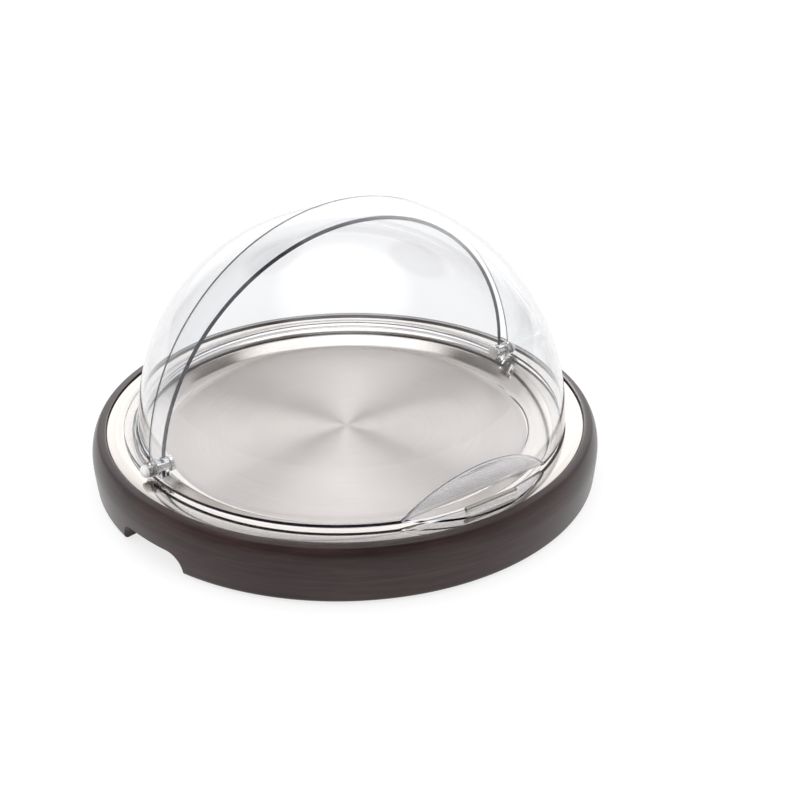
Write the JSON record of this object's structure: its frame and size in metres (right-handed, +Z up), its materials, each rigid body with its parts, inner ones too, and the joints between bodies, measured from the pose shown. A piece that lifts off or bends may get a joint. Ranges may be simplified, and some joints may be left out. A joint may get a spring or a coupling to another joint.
{
  "type": "roll-top cake dome on wooden base",
  "caption": "Round display dome: clear cover with a swinging front shell over a fixed rear shell, on a shallow steel tray in a dark wooden ring base.",
  "frame": {"origin": "on the table under the middle of the round base", "axes": "+Z up, the front shell's grip towards -Y, the pivot axis along X"},
  "size_m": [0.438, 0.438, 0.239],
  "materials": {
    "dark_wood": "satin lacquer",
    "base_board": "stained plywood",
    "tray_steel": "turned satin floor, polished rim",
    "clear_plastic": "clear, polished",
    "polished_steel": "polished",
    "cap_plastic": "gloss",
    "fastener_steel": "plain",
    "nylon": "matt",
    "foot_rubber": "matt"
  },
  "bodies": {
    "base": {"wooden_base_ring": "dark_wood", "base_board": "base_board", "board_screw_1": "fastener_steel", "board_screw_2": "fastener_steel", "board_screw_3": "fastener_steel", "board_screw_4": "fastener_steel", "rubber_foot_1": "foot_rubber", "rubber_foot_2": "foot_rubber", "rubber_foot_3": "foot_rubber", "rubber_foot_4": "foot_rubber"},
    "tray": {"steel_tray": "tray_steel"},
    "cover": {"rear_shell": "clear_plastic", "pivot_screw_left": "polished_steel", "pivot_screw_right": "polished_steel", "gap_washer_left": "nylon", "gap_washer_right": "nylon", "nut_washer_left": "fastener_steel", "nut_washer_right": "fastener_steel", "cap_nut_left": "cap_plastic", "cap_nut_right": "cap_plastic"},
    "front_cover": {"front_shell": "clear_plastic", "ear_bush_left": "nylon", "ear_bush_right": "nylon"}
  },
  "joints": [
    {"name": "tray_lift", "type": "slide", "parent": "base", "child": "tray", "axis": [0, 0, 1], "range_m": [0, 0.08]},
    {"name": "cover_lift", "type": "slide", "parent": "tray", "child": "cover", "axis": [0, 0, 1], "range_m": [0, 0.12]},
    {"name": "front_swing", "type": "hinge", "parent": "cover", "child": "front_cover", "pos_m": [0, 0, 0.056], "axis": [-1, 0, 0], "range_deg": [0, 85]}
  ]
}
